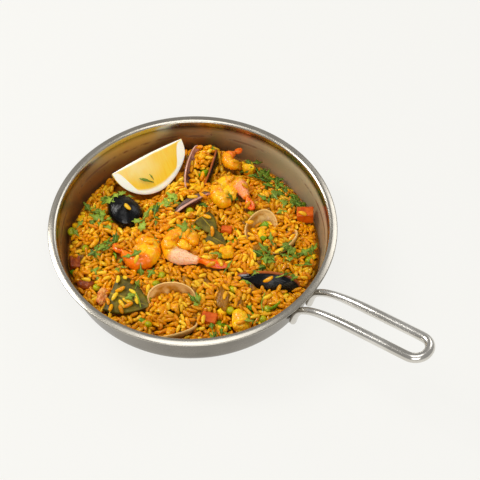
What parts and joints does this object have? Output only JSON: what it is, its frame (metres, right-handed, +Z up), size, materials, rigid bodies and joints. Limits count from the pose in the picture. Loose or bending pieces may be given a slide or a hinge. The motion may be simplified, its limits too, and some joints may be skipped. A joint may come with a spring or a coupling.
{
  "type": "paella in a pan",
  "caption": "Seafood rice with lemon, shrimp, mussels, clams and vegetables, served in a shallow round steel pan with a long wire handle.",
  "frame": {"origin": "centre of the pan's flat base, on its underside", "axes": "+Z up, +X from the pan's centre out along the handle"},
  "size_m": [0.3843, 0.26, 0.0817],
  "materials": {
    "pan_steel": "satin",
    "handle_steel": "satin",
    "rice": "moist",
    "lemon": "moist",
    "shrimp": "moist",
    "mussel": "gloss",
    "clam": "satin",
    "leaf": "satin",
    "carrot": "moist",
    "pepper": "moist",
    "chicken": "moist",
    "squid": "moist",
    "sausage": "moist"
  },
  "bodies": {
    "root": {"pan": "pan_steel", "handle": "handle_steel", "rice_bed": "rice", "lemon_wedge": "lemon", "shrimp_1": "shrimp", "shrimp_2": "shrimp", "shrimp_3": "shrimp", "shrimp_4": "shrimp", "mussel_1": "mussel", "mussel_2": "mussel", "mussel_3_left": "mussel", "mussel_3_right": "mussel", "mussel_4": "mussel", "clam_1_upper": "clam", "clam_1_lower": "clam", "clam_2_upper": "clam", "clam_2_lower": "clam", "bay_leaf_1": "leaf", "bay_leaf_2": "leaf", "bay_leaf_3": "leaf", "carrot_1": "carrot", "carrot_2": "carrot", "carrot_3": "carrot", "pepper_1": "pepper", "chicken_1": "chicken", "chicken_2": "chicken", "chicken_3": "chicken", "chicken_4": "chicken", "squid_1": "squid", "squid_2": "squid", "tentacle": "squid", "sausage": "sausage"}
  },
  "joints": []
}
